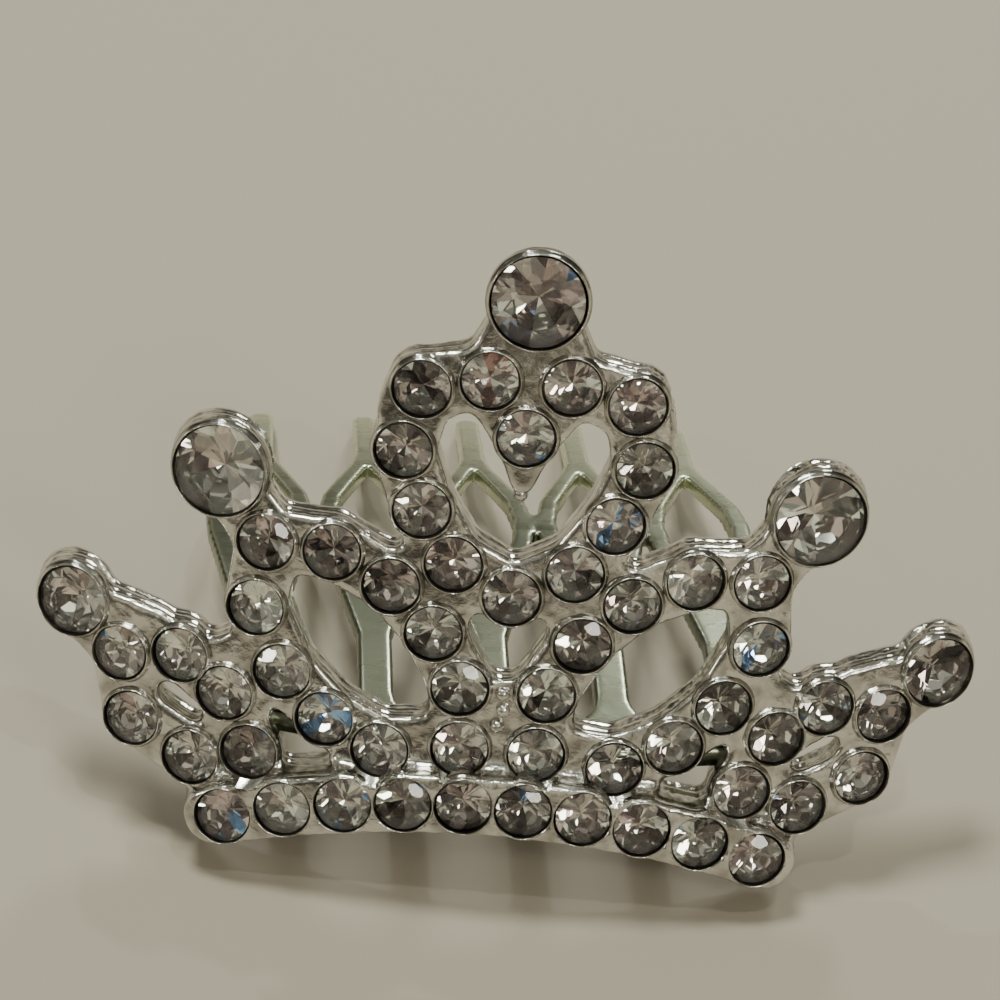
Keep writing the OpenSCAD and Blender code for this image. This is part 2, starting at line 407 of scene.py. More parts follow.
def link_object(name: str, data: bpy.types.ID) -> bpy.types.Object:
    """Makes an object and links it to the scene.

    Args:
        name: the object's name.
        data: its mesh, lamp or camera.

    Returns:
        The object, at the origin.
    """
    made = bpy.data.objects.new(name, data)
    bpy.context.scene.collection.objects.link(made)
    return made


def to_object(mesh: bmesh.types.BMesh, name: str, smooth: bool = True) -> bpy.types.Object:
    """Makes a linked object of a mesh, and frees the mesh.

    Args:
        mesh: what the object shows.
        name: the piece's name.
        smooth: whether its faces are shaded smooth.

    Returns:
        The object, at the origin.
    """
    data = bpy.data.meshes.new(name)
    for face in mesh.faces:
        face.smooth = smooth
    mesh.to_mesh(data)
    mesh.free()
    return link_object(name, data)


def settle(piece: bpy.types.Object) -> None:
    """Applies a piece's modifiers to its mesh.

    Args:
        piece: the object, which keeps its name.
    """
    graph = bpy.context.evaluated_depsgraph_get()
    done = bpy.data.meshes.new_from_object(piece.evaluated_get(graph))
    piece.modifiers.clear()
    old = piece.data
    piece.data = done
    bpy.data.meshes.remove(old)
    done.name = piece.name


def melt_together(piece: bpy.types.Object, voxel: float, rounds: int) -> None:
    """Joins a piece's overlapping solids into one skin with the soft corners of plated metal.

    Args:
        piece: the object, in millimetres.
        voxel: size of the skin's faces.
        rounds: how often the skin is relaxed.
    """
    remesh = piece.modifiers.new("skin", "REMESH")
    remesh.mode = "VOXEL"
    remesh.voxel_size = voxel
    remesh.use_smooth_shade = True
    relax = piece.modifiers.new("relax", "SMOOTH")
    relax.factor = 0.5
    relax.iterations = rounds
    settle(piece)


def fill_corners(piece: bpy.types.Object, voxel: float, radius: float) -> None:
    """Rounds a piece's inner corners by growing its skin and shrinking it back.

    Args:
        piece: the object, in millimetres.
        voxel: size of the skin's faces.
        radius: radius of the rounded corners.
    """
    for number, step in enumerate((radius, -radius)):
        remesh = piece.modifiers.new(f"skin_{number}", "REMESH")
        remesh.mode = "VOXEL"
        remesh.voxel_size = voxel
        grow = piece.modifiers.new(f"grow_{number}", "DISPLACE")
        grow.strength = step
        grow.mid_level = 0.0
    settle(piece)


def cut_with(piece: bpy.types.Object, tool: bpy.types.Object, kept: Cut) -> None:
    """Cuts a closed piece with a closed tool, which is then removed.

    Args:
        piece: the object to cut.
        tool: what cuts it.
        kept: which part of the piece stays.
    """
    cut = piece.modifiers.new("cut", "BOOLEAN")
    cut.object = tool
    cut.operation = kept.value
    cut.solver = "MANIFOLD"
    settle(piece)
    bpy.data.objects.remove(tool)


def reshape(piece: bpy.types.Object, rule: Callable[[Vector], Vector]) -> None:
    """Moves every point of a piece.

    Args:
        piece: the object.
        rule: gives each point its new place.
    """
    for vertex in piece.data.vertices:
        vertex.co = rule(vertex.co)
    piece.data.update()


def mark_hollows(piece: bpy.types.Object, sharpness: float, rounds: int) -> None:
    """Stores how deep each point lies in a crease, for the grime and the painted shade that darken it
    there.

    Args:
        piece: the object, in millimetres.
        sharpness: how fast a crease counts as fully darkened by grime and painted shade.
        rounds: how often the values spread to their neighbours.
    """
    mesh = piece.data
    count = len(mesh.vertices)
    points, normals = np.empty(count * 3), np.empty(count * 3)
    mesh.vertices.foreach_get("co", points)
    mesh.vertices.foreach_get("normal", normals)
    ends = np.empty(len(mesh.edges) * 2, dtype=np.int64)
    mesh.edges.foreach_get("vertices", ends)
    points, normals, ends = points.reshape(-1, 3), normals.reshape(-1, 3), ends.reshape(-1, 2)
    first, last = ends[:, 0], ends[:, 1]
    run = points[last] - points[first]
    length = np.maximum((run * run).sum(axis=1), 1e-4)
    share = np.bincount(first, minlength=count) + np.bincount(last, minlength=count)
    share = np.maximum(share, 1)
    bend = np.bincount(first, (run * normals[first]).sum(axis=1) / length, count)
    bend = (bend - np.bincount(last, (run * normals[last]).sum(axis=1) / length, count)) / share
    for _ in range(rounds):
        spread = np.bincount(first, bend[last], count) + np.bincount(last, bend[first], count)
        bend = (bend + spread / share) / 2
    hollow = mesh.attributes.new("hollow", "FLOAT", "POINT")
    hollow.data.foreach_set("value", np.clip(bend * sharpness, 0, 1).astype(np.float32))


def use_finish(piece: bpy.types.Object, finish: bpy.types.Material) -> None:
    """Gives a whole piece one finish, in place of the empty slots that its cuts leave."""
    piece.data.materials.clear()
    piece.data.materials.append(finish)


def finish_piece(piece: bpy.types.Object, slot: str, *nodes: str) -> None:
    """Puts a finished piece on the part's one body and hides the CAD nodes that it stands for.

    Args:
        piece: the object, in metres and in place.
        slot: the record's material slot; not used.
        nodes: the CAD nodes that it replaces.
    """
    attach(piece, "root")
    if nodes:
        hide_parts(*nodes)
    LOG.info("%s: %d faces", piece.name, len(piece.data.polygons))


class NodeSketch:
    """Small helper that adds and links shader nodes in one tree."""

    def __init__(self, tree: bpy.types.NodeTree) -> None:
        """Keeps the tree that nodes go into."""
        self.tree = tree

    def node(self, kind: str, **values: object) -> bpy.types.Node:
        """Adds a node and sets its properties, and then its inputs.

        Args:
            kind: the node's type name.
            values: properties by name, and inputs under the key inputs.

        Returns:
            The new node.
        """
        made = self.tree.nodes.new(kind)
        inputs = values.pop("inputs", {})
        for key, value in values.items():
            setattr(made, key, value)
        for key, value in inputs.items():
            made.inputs[key].default_value = value
        return made

    def link(self, source: bpy.types.NodeSocket, target: bpy.types.NodeSocket) -> None:
        """Links two sockets."""
        self.tree.links.new(source, target)

    def ramp(
        self, source: bpy.types.NodeSocket, stops: Sequence[tuple[float, Colour]]
    ) -> bpy.types.NodeSocket:
        """Lays a colour ramp over a value.

        Args:
            source: the value.
            stops: position and RGB of each stop.

        Returns:
            The ramp's colour socket.
        """
        node = self.node("ShaderNodeValToRGB")
        while len(node.color_ramp.elements) < len(stops):
            node.color_ramp.elements.new(0.5)
        for element, (position, colour) in zip(node.color_ramp.elements, stops):
            element.position = position
            element.color = (*colour, 1)
        self.link(source, node.inputs["Fac"])
        return node.outputs["Color"]


def start_material(
    name: str, values: dict[str, object]
) -> tuple[bpy.types.Material, NodeSketch, bpy.types.Node]:
    """Starts a material on a Principled shader.

    Args:
        name: the material's name.
        values: the shader's constants, by the names of its inputs.

    Returns:
        The material, the sketch of its tree and its shader node.
    """
    made = bpy.data.materials.new(name)
    made.use_nodes = True
    shader = made.node_tree.nodes["Principled BSDF"]
    for key, value in values.items():
        shader.inputs[key].default_value = value
    return made, NodeSketch(made.node_tree), shader


def cast_skin_group() -> bpy.types.NodeTree:
    """Builds the group that every plated metal shares: dents, grain, and grime with painted shade in the
    hollows.

    Returns:
        A node group with the inputs Dent Scale, Grain Scale, Grime And Shade and Stretch. Its outputs are
        Height, Patch and Hollow, the last being the darkening by grime and painted shade in the creases.
    """
    group = bpy.data.node_groups.new("cast_skin", "ShaderNodeTree")
    for name, kind, value in (
        ("Dent Scale", "Float", 900.0), ("Grain Scale", "Float", 6000.0), ("Grime", "Float", 0.5),
        ("Stretch", "Vector", (1, 1, 1)),
    ):
        socket = group.interface.new_socket(name, in_out="INPUT", socket_type=f"NodeSocket{kind}")
        socket.default_value = value
    for name in ("Height", "Patch", "Hollow"):
        group.interface.new_socket(name, in_out="OUTPUT", socket_type="NodeSocketFloat")
    sketch = NodeSketch(group)
    inlet = sketch.node("NodeGroupInput")
    outlet = sketch.node("NodeGroupOutput")
    place = sketch.node("ShaderNodeTexCoord")
    drawn = sketch.node("ShaderNodeVectorMath", operation="MULTIPLY")
    sketch.link(place.outputs["Object"], drawn.inputs[0])
    sketch.link(inlet.outputs["Stretch"], drawn.inputs[1])
    dent = sketch.node("ShaderNodeTexNoise", inputs={"Detail": 2.0, "Roughness": 0.5})
    grain = sketch.node("ShaderNodeTexNoise", inputs={"Detail": 3.0, "Roughness": 0.6})
    for texture, scale in ((dent, "Dent Scale"), (grain, "Grain Scale")):
        sketch.link(drawn.outputs["Vector"], texture.inputs["Vector"])
        sketch.link(inlet.outputs[scale], texture.inputs["Scale"])
    height = sketch.node("ShaderNodeMath", operation="MULTIPLY_ADD", inputs={1: 0.4})
    sketch.link(grain.outputs["Fac"], height.inputs[0])
    sketch.link(dent.outputs["Fac"], height.inputs[2])
    sketch.link(height.outputs[0], outlet.inputs["Height"])
    sketch.link(dent.outputs["Fac"], outlet.inputs["Patch"])
    # Creases darken with grime and painted shade together.
    hollow = sketch.node("ShaderNodeAttribute", attribute_name="hollow")
    grime = sketch.node("ShaderNodeMath", operation="MULTIPLY", use_clamp=True)
    sketch.link(hollow.outputs["Fac"], grime.inputs[0])
    sketch.link(inlet.outputs["Grime"], grime.inputs[1])
    sketch.link(grime.outputs[0], outlet.inputs["Hollow"])
    return group


@dataclass(frozen=True)
class PlatedMetal:
    """A plated metal finish over the shared cast skin.

    Its colour is far_glow times as light beyond far_to as before far_from, which are distances
    behind the tiara in metres. This stands in for the light that falls on the comb's tips.
    """

    name: str
    bright: Colour
    dull: Colour
    # The crease colour and its strength stand for grime and painted shade together.
    grime_and_shade_colour: Colour
    roughness: tuple[float, float]
    dent_scale: float = 900.0
    grain_scale: float = 6000.0
    grime: float = 0.8
    stretch: tuple[float, float, float] = (1.0, 1.0, 1.0)
    bump: float = 0.25
    bump_depth: float = 0.00006
    far_glow: float = 1.0
    far_from: float = 0.020
    far_to: float = 0.032

    def _colour(self, sketch: NodeSketch, cast: bpy.types.Node) -> bpy.types.NodeSocket:
        """Mixes the plating's colour, with its dull patches, its grime and painted shade in the creases,
        and the painted light on its lighter far end.

        Args:
            sketch: the material's tree.
            cast: its copy of the shared skin.

        Returns:
            The colour's socket.
        """
        clean = sketch.ramp(cast.outputs["Patch"], [(0.35, self.dull), (0.6, self.bright)])
        mix = sketch.node("ShaderNodeMix", data_type="RGBA", inputs={"B": (*self.grime_and_shade_colour, 1)})
        sketch.link(cast.outputs["Hollow"], mix.inputs["Factor"])
        sketch.link(clean, mix.inputs["A"])
        place = sketch.node("ShaderNodeTexCoord")
        split = sketch.node("ShaderNodeSeparateXYZ")
        sketch.link(place.outputs["Object"], split.inputs["Vector"])
        reach = {"From Min": self.far_from, "From Max": self.far_to}
        glow = sketch.node("ShaderNodeMapRange", inputs={**reach, "To Min": 1.0, "To Max": self.far_glow})
        sketch.link(split.outputs["Y"], glow.inputs["Value"])
        lit = sketch.node("ShaderNodeVectorMath", operation="SCALE")
        sketch.link(mix.outputs["Result"], lit.inputs[0])
        sketch.link(glow.outputs["Result"], lit.inputs["Scale"])
        return lit.outputs["Vector"]

    def material(self, skin: bpy.types.NodeTree) -> bpy.types.Material:
        """Builds the material.

        Args:
            skin: the shared node group.

        Returns:
            The finished material.
        """
        made, sketch, shader = start_material(self.name, {"Metallic": 1.0})
        skin_values = {
            "Dent Scale": self.dent_scale, "Grain Scale": self.grain_scale,
            "Grime": self.grime, "Stretch": self.stretch,
        }
        cast = sketch.node("ShaderNodeGroup", node_tree=skin, inputs=skin_values)
        sketch.link(self._colour(sketch, cast), shader.inputs["Base Color"])
        low, high = self.roughness
        spread = sketch.node("ShaderNodeMapRange", inputs={"To Min": high, "To Max": low})
        sketch.link(cast.outputs["Patch"], spread.inputs["Value"])
        sketch.link(spread.outputs["Result"], shader.inputs["Roughness"])
        depth = {"Strength": self.bump, "Distance": self.bump_depth}
        relief = sketch.node("ShaderNodeBump", inputs=depth)
        sketch.link(cast.outputs["Height"], relief.inputs["Height"])
        sketch.link(relief.outputs["Normal"], shader.inputs["Normal"])
        return made


@dataclass(frozen=True)
class CrystalGlass:
    """The clear, faintly mauve glass of a stone's crown."""

    name: str = "crystal_glass"
    tint: Colour = (0.97, 0.94, 0.95)
    ior: float = 1.5
    scuff_scale: float = 2500.0
    scuff_roughness: float = 0.03

    def material(self) -> bpy.types.Material:
        """Builds the glass, with hairline scuffs in its roughness.

        Returns:
            The finished material.
        """
        clear = {"Base Color": (*self.tint, 1), "Transmission Weight": 1.0, "IOR": self.ior}
        made, sketch, shader = start_material(self.name, clear)
        place = sketch.node("ShaderNodeTexCoord")
        scuff = sketch.node("ShaderNodeTexNoise", inputs={"Scale": self.scuff_scale, "Detail": 2.0})
        reach = {"From Min": 0.4, "From Max": 0.9, "To Max": self.scuff_roughness}
        spread = sketch.node("ShaderNodeMapRange", inputs=reach)
        sketch.link(place.outputs["Object"], scuff.inputs["Vector"])
        sketch.link(scuff.outputs["Fac"], spread.inputs["Value"])
        sketch.link(spread.outputs["Result"], shader.inputs["Roughness"])
        return made


@dataclass(frozen=True)
class MirrorFoil:
    """The mirror foil behind a stone, with a tint of its own on each facet, a few of them painted flashes
    of coloured fire.
    """

    name: str = "mirror_foil"
    metallic: float = 0.9
    roughness: float = 0.03

    def material(self) -> bpy.types.Material:
        """Builds the foil from the facets' stored tints.

        Returns:
            The finished material.
        """
        shine = {"Metallic": self.metallic, "Roughness": self.roughness}
        made, sketch, shader = start_material(self.name, shine)
        tint = sketch.node("ShaderNodeAttribute", attribute_name=TINT_LAYER)
        sketch.link(tint.outputs["Color"], shader.inputs["Base Color"])
        return made


@dataclass(frozen=True)
class FacetTints:
    """How often a facet's foil has which tint, and how light that tint is.

    Each share includes those of the tints before it, and what is past the last share is grey. The rare
    blue and red tints are painted flashes of coloured fire.
    """

    # Blue and red facets are painted flashes of coloured fire.
    blue_flash_share: float = 0.011
    red_flash_share: float = 0.014
    pale_share: float = 0.52
    dark_share: float = 0.67
    blue_flash: Colour = (0.30, 0.56, 1.0)
    red_flash: Colour = (0.50, 0.30, 0.27)
    pale: Colour = (0.97, 1, 0.94)
    dark: Colour = (1, 0.90, 0.86)
    grey: Colour = (1, 0.91, 0.88)
    pale_range: tuple[float, float] = (0.95, 1.0)
    dark_range: tuple[float, float] = (0.16, 0.42)
    grey_range: tuple[float, float] = (0.60, 0.94)

    def draw(self, dice: random.Random) -> tuple[float, ...]:
        """Draws one facet's tint.

        Args:
            dice: the source of chance, used once or twice.

        Returns:
            Red, green, blue and a full alpha.
        """
        throw = dice.random()
        # Blue and red facets paint flashes of coloured fire.
        if throw < self.blue_flash_share:
            return (*self.blue_flash, 1)
        if throw < self.red_flash_share:
            return (*self.red_flash, 1)
        colour, reach = self.grey, self.grey_range
        if throw < self.pale_share:
            colour, reach = self.pale, self.pale_range
        elif throw < self.dark_share:
            colour, reach = self.dark, self.dark_range
        light = dice.uniform(*reach)
        return (*(light * part for part in colour), 1)


@dataclass(frozen=True)
class ChatonCut:
    """The cut of a round stone, ground facet by facet from a glass cylinder.

    Shares are of the stone's diameter. Angles are in degrees from the girdle's plane. Facets
    that face upwards by less than foil_below have the foil. The cylinder has some spare length
    below the stone's point.
    """

    crown_share: float = 0.13
    pavilion_share: float = 0.44
    table_share: float = 0.56
    girdle_share: float = 0.03
    star_angle: float = 17.0
    upper_half_angle: float = 37.0
    lower_half_angle: float = 41.5
    mains: int = 8
    sides: int = 48
    foil_below: float = 0.1
    spare: float = 1.0

    def _grind(self, mesh: bmesh.types.BMesh, point: Vector, normal: Vector) -> None:
        """Grinds away what lies beyond one plane and closes the cut.

        Args:
            mesh: the stone so far.
            point: a point of the plane.
            normal: the way out of the stone.
        """
        geometry = mesh.verts[:] + mesh.edges[:] + mesh.faces[:]
        bmesh.ops.bisect_plane(
            mesh, geom=geometry, plane_co=point, plane_no=normal, dist=1e-5, clear_outer=True
        )
        rim = [edge for edge in mesh.edges if edge.is_boundary]
        if rim:
            bmesh.ops.holes_fill(mesh, edges=rim, sides=0)

    def _facets(self, diameter: float) -> list[tuple[Vector, float, float, int]]:
        """Lists the facets in the order in which they are ground.

        Args:
            diameter: the stone's width at the girdle.

        Returns:
            For each facet a point of it before its turn, the turn round the stone, its angle to
            the girdle and 1 on the crown or -1 on the pavilion.
        """
        r = diameter / 2
        crown, pavilion = self.crown_share * diameter, self.pavilion_share * diameter
        band = self.girdle_share * diameter
        table_r = self.table_share * r
        step = math.pi / self.mains
        main = (Vector((table_r, 0, crown)), math.atan2(crown, r - table_r))
        star = (Vector((table_r * math.cos(step), 0, crown)), math.radians(self.star_angle))
        deep = (Vector((0, 0, -pavilion)), math.atan2(pavilion - band, r))
        upper_half = (Vector((r, 0, 0)), math.radians(self.upper_half_angle))
        lower_half = (Vector((r, 0, -band)), math.radians(self.lower_half_angle))
        around = [(main, 0, 1), (star, step, 1), (deep, step, -1)]
        for half in (-step / 2, step / 2):
            around += [(upper_half, half, 1), (lower_half, step + half, -1)]
        return [
            (point, 2 * step * k + turn, angle, way)
            for k in range(self.mains)
            for (point, angle), turn, way in around
        ]

    def cut(self, diameter: float) -> bmesh.types.BMesh:
        """Grinds one stone.

        Args:
            diameter: its width at the girdle.

        Returns:
            A closed mesh whose girdle's top is at height 0. Its glass faces have material 0 and
            the foil behind them material 1.
        """
        mesh = bmesh.new()
        low, high = -self.pavilion_share * diameter - self.spare, self.crown_share * diameter
        disc(mesh, Matrix.Identity(4), diameter / 2, low, high, self.sides)
        for point, turn, angle, way in self._facets(diameter):
            spin = Matrix.Rotation(turn, 3, "Z")
            normal = Vector((math.sin(angle), 0, way * math.cos(angle)))
            self._grind(mesh, spin @ point, spin @ normal)
        bmesh.ops.recalc_face_normals(mesh, faces=mesh.faces)
        for face in mesh.faces:
            face.material_index = 1 if face.normal.z < self.foil_below else 0
        return mesh


@dataclass
class Stones:
    """All cut stones, one piece for each CAD node of stones.

    Every stone is set a little askew, by up to slant degrees. It may slide in its seat by half
    of its play, but up the tiara by slide_up of that.
    """

    plane: TiaraPlane
    layout: StoneLayout
    cut: ChatonCut = ChatonCut()
    tints: FacetTints = FacetTints()
    play: float = 0.07
    slant: float = 3.5
    slide_up: float = 0.2

    def _askew(self, dice: random.Random, axis: str) -> Matrix:
        """A small random turn about one axis."""
        return Matrix.Rotation(math.radians(dice.uniform(-self.slant, self.slant)), 4, axis)

    def _setting(self, dice: random.Random, spot: StoneSpot) -> Matrix:
        """Draws how one stone sits in its seat.

        Args:
            dice: the source of chance, used five times.
            spot: the stone's spot.

        Returns:
            From the stone's own millimetres to the world's metres.
        """
        tilt = self._askew(dice, "X")
        lean = self._askew(dice, "Y")
        turn = Matrix.Rotation(dice.uniform(0, math.pi / 4), 4, "Z")
        loose = self.play / 2
        aside = dice.uniform(-loose, loose)
        upwards = dice.uniform(-loose, loose * self.slide_up)
        lift = Matrix.Translation((aside, upwards, self.layout.girdle(spot.surface)))
        return self.plane.stand @ spot.matrix(self.plane) @ lift @ tilt @ lean @ turn

    def build(self, glass: bpy.types.Material, foil: bpy.types.Material) -> None:
        """Cuts and sets every stone, in the order of the CAD nodes.

        Args:
            glass: material of the crown.
            foil: material of the girdle and the pavilion.
        """
        dice = random.Random(SEED)
        for node, spots in self.layout.by_node().items():
            whole = bmesh.new()
            for spot in spots:
                move_into(whole, self.cut.cut(spot.diameter - self.play), self._setting(dice, spot))
            layer = whole.loops.layers.float_color.new(TINT_LAYER)
            for face in whole.faces:
                tint = self.tints.draw(dice)
                for loop in face.loops:
                    loop[layer] = tint
            piece = to_object(whole, f"{node}_cut", smooth=False)
            piece.data.materials.append(glass)
            piece.data.materials.append(foil)
            finish_piece(piece, "crystal", node)


@dataclass(frozen=True)
class CastingMarks:
    """The marks that a small casting has on its skin, in millimetres.

    A wave is a noise's scale and its height. Grooves run round the walls at three depths. The
    walls right of rough_from, over a stretch of rough_run, grow uneven, and above rough_top
    they are at their roughest.
    """

    skin_waves: Rows = ((1.1, 0.035), (3.3, 0.022))
    wall_slope: float = 2.2
    groove_depths: tuple[float, ...] = (0.75, -0.55, -1.35)
    groove_w: float = 0.17
    groove_cut: float = 0.085
    rough_wave: Row = (5.5, 0.09)
    rough_from: float = 4.6
    rough_run: float = 1.2
    rough_top: float = 15.0
    rough_share_below: float = 0.5
    rough_stretch: float = 0.35

    def _move(self, spot: Vector, normal: Vector) -> float:
        """Works out how far the marks move one point of the skin.

        Args:
            spot: the point on the flat plane.
            normal: the way that its skin faces.

        Returns:
            The distance along the normal.
        """
        wall = max(0.0, 1 - self.wall_slope * abs(normal.z))
        groove = sum(math.exp(-(((spot.z - depth) / self.groove_w) ** 2)) for depth in self.groove_depths)
        rough = min(1.0, max(0.0, (spot.x - self.rough_from) / self.rough_run))
        if spot.y <= self.rough_top:
            rough *= self.rough_share_below
        drawn = Vector((spot.x, spot.y, spot.z * self.rough_stretch))
        uneven = rough * waves(drawn, (self.rough_wave,))
        return waves(spot, self.skin_waves) + wall * (uneven - self.groove_cut * groove)

    def press(self, piece: bpy.types.Object) -> None:
        """Marks a whole skin. All normals are read before the first point moves.

        Args:
            piece: the flat casting.
        """
        outwards = [vertex.normal.copy() for vertex in piece.data.vertices]
        for vertex, normal in zip(piece.data.vertices, outwards):
            spot = vertex.co.copy()
            vertex.co = spot + normal * self._move(spot, normal)


@dataclass
class CastFrame:
    """The cast silver body: cups, links, drop and base bar in one melted skin.

    Lobes and wing bands are rows of two shares and a radius in millimetres, laid out as the
    stones are. The drop's steps are rows of a distance below the drop stone's middle and half
    of the plate's width there.
    """

    plane: TiaraPlane
    layout: StoneLayout
    marks: CastingMarks = CastingMarks()
    link_w: float = 3.22
    link_gap: float = 1.3
    stone_play: float = 0.05
    rim_wall: float = 0.1
    cup_margin: float = 0.12
    lobe_rows: Rows = ((0.190, 0.819, 1.65), (0.258, 0.755, 1.68), (0.256, 0.785, 1.55))
    side_web_row: tuple[float, ...] = (0.632, 0.228, 1.0)
    band_rows: Rows = ((0.812, 0.237, 1.4), (0.897, 0.254, 1.4))
    top_foot_r: float = 1.6
    top_shoulder: float = -0.9
    top_seat_foot_r: float = 0.5
    top_seat_shoulder: float = -0.45
    seat_share: float = 0.44
    seat_wall: float = 0.03
    seat_top: float = 3.0
    drop_steps: tuple[Row, ...] = ((0.2, 1.55), (1.0, 1.3), (1.7, 0.95), (2.5, 0.62), (3.0, 0.32))
    corner_r: float = 0.25
    voxel: float = 0.16
    relax_rounds: int = 4
    grime_and_shade_sharpness: float = 0.9

    def cup_r(self, diameter: float) -> float:
        """Outer radius of the metal round a stone."""
        return diameter / 2 + self.stone_play + self.rim_wall + self.cup_margin

    def seat_r(self, diameter: float) -> float:
        """Radius of the hole that takes a stone."""
        return diameter / 2 + self.stone_play + self.seat_wall

    def _links(self, spots: list[StoneSpot]) -> list[tuple[StoneSpot, StoneSpot]]:
        """Finds the neighbouring stones that metal joins.

        Args:
            spots: the stones.

        Returns:
            Each pair once.
        """
        pairs = []
        for i, a in enumerate(spots):
            for b in spots[i + 1 :]:
                apart = math.hypot(b.x - a.x, b.height - a.height) - (a.diameter + b.diameter) / 2
                if apart < self.link_gap:
                    pairs.append((a, b))
        return pairs

    def _cups(self, mesh: bmesh.types.BMesh, spots: list[StoneSpot], back: float) -> None:
        """Adds the frame's cups. The top one narrows behind its shoulder.

        Args:
            mesh: the mesh that they join.
            spots: the stones on the frame.
            back: depth of the frame's back.
        """
        top = self.layout.top
        for spot in spots:
            if spot != top:
                disc(mesh, Matrix.Translation(spot.flat), self.cup_r(spot.diameter), back, 0)
        cup = tapered(self.cup_r(top.diameter), self.top_foot_r, back, self.top_shoulder, 0)
        move_into(mesh, cup, Matrix.Translation(top.flat))

    def _webs(self, mesh: bmesh.types.BMesh, back: float) -> None:
        """Adds the metal that fills the corners of the heart, the wings and the loops.

        Args:
            mesh: the mesh that it joins.
            back: depth of the frame's back.
        """
        disc(mesh, Matrix.Translation((0, self.layout.web_height, 0)), self.layout.web_r, back, 0)
        for across, up, radius in (*self.lobe_rows, *self.band_rows, self.side_web_row):
            for side in Side:
                spot = self.layout.spot((across, up), side, 0)
                disc(mesh, Matrix.Translation(spot.flat), radius, back, 0)
        for side in Side:
            a, b = (self.layout.spot(row[:2], side, 2 * row[2]) for row in self.band_rows)
            slab(mesh, a.flat, b.flat, a.diameter, back, 0)

    def _flat_body(self) -> bmesh.types.BMesh:
        """Lays out the frame's overlapping solids, before they melt together and sweep back.

        Returns:
            The mesh that holds them all.
        """
        mesh = bmesh.new()
        back = -self.plane.frame_t
        spots = self.layout.on_frame()
        self._cups(mesh, spots, back)
        for a, b in self._links(spots):
            slab(mesh, a.flat, b.flat, self.link_w, back, 0)
        self._webs(mesh, back)
        height = self.layout.drop.height
        for (near, wide), (far, narrow) in zip(self.drop_steps, self.drop_steps[1:]):
            places = ((-wide, near), (-narrow, far), (narrow, far), (wide, near))
            prism(mesh, [Vector((x, height - down, 0)) for x, down in places], back, 0)
        self._bar(mesh)
        bmesh.ops.recalc_face_normals(mesh, faces=mesh.faces)
        return mesh

    def _bar(self, mesh: bmesh.types.BMesh) -> None:
        """Adds the arched base bar with its rounded ends and its scallops.

        Args:
            mesh: the mesh that it joins.
        """
        low, high = -self.plane.frame_t, Surface.BAR.value
        bar = self.plane.bar
        arch, half = bar.arch_r, bar.width / 2
        reach = math.asin(bar.half / arch) - half / arch
        corners = [
            mesh.verts.new((0, out, depth))
            for out, depth in ((-half, low), (half, low), (half, high), (-half, high))
        ]
        end = mesh.faces.new(corners)
        middle = (0, -arch, 0)
        bmesh.ops.rotate(mesh, verts=corners, cent=middle, matrix=Matrix.Rotation(reach, 3, "Z"))
        bmesh.ops.spin(
            mesh, geom=[end], cent=middle, axis=(0, 0, 1), angle=-2 * reach, steps=40, use_duplicate=False
        )
        for way in (-reach, reach):
            tip = Matrix.Rotation(way, 4, "Z") @ Matrix.Translation((0, arch, 0))
            disc(mesh, Matrix.Translation(middle) @ tip, half, low, high)
        for spot in self.layout.bar_row():
            disc(mesh, Matrix.Translation(spot.flat), self.cup_r(spot.diameter), low, high)

    def _seats(self) -> bpy.types.Object:
        """Makes the tool that bores every blind seat.

        Returns:
            Its cylinders as one object, swept back as the frame is.
        """
        mesh = bmesh.new()
        for spots in self.layout.by_node().values():
            for spot in spots:
                depth = self.seat_share * spot.diameter
                floor = self.layout.girdle(spot.surface) - depth - self.seat_wall
                place, bore_r = spot.matrix(self.plane), self.seat_r(spot.diameter)
                if spot == self.layout.top:
                    foot_r, shoulder = self.top_seat_foot_r, self.top_seat_shoulder
                    move_into(mesh, tapered(bore_r, foot_r, floor, shoulder, self.seat_top), place)
                else:
                    disc(mesh, place, bore_r, floor, self.seat_top, steps=48)
        return to_object(mesh, "seats")

    def build(self, silver: bpy.types.Material) -> None:
        """Casts the body.

        Args:
            silver: its finish.
        """
        piece = to_object(self._flat_body(), "cast_frame")
        fill_corners(piece, self.voxel, self.corner_r)
        melt_together(piece, self.voxel, self.relax_rounds)
        self.marks.press(piece)
        reshape(piece, self.plane.sweep)
        cut_with(piece, self._seats(), Cut.OUTSIDE)
        # Crease depths drive the grime and painted shade in the silver's colour.
        mark_hollows(piece, self.grime_and_shade_sharpness, rounds=1)
        piece.data.transform(self.plane.stand)
        piece.data.shade_smooth()
        use_finish(piece, silver)
        finish_piece(piece, "silver", "silver_frame")


class RimLine(Enum):
    """A radius in a rim's section: the wall of the seat, the rim's outside or the cup's."""

    SEAT = "seat"
    WALL = "wall"
    CUP = "cup"


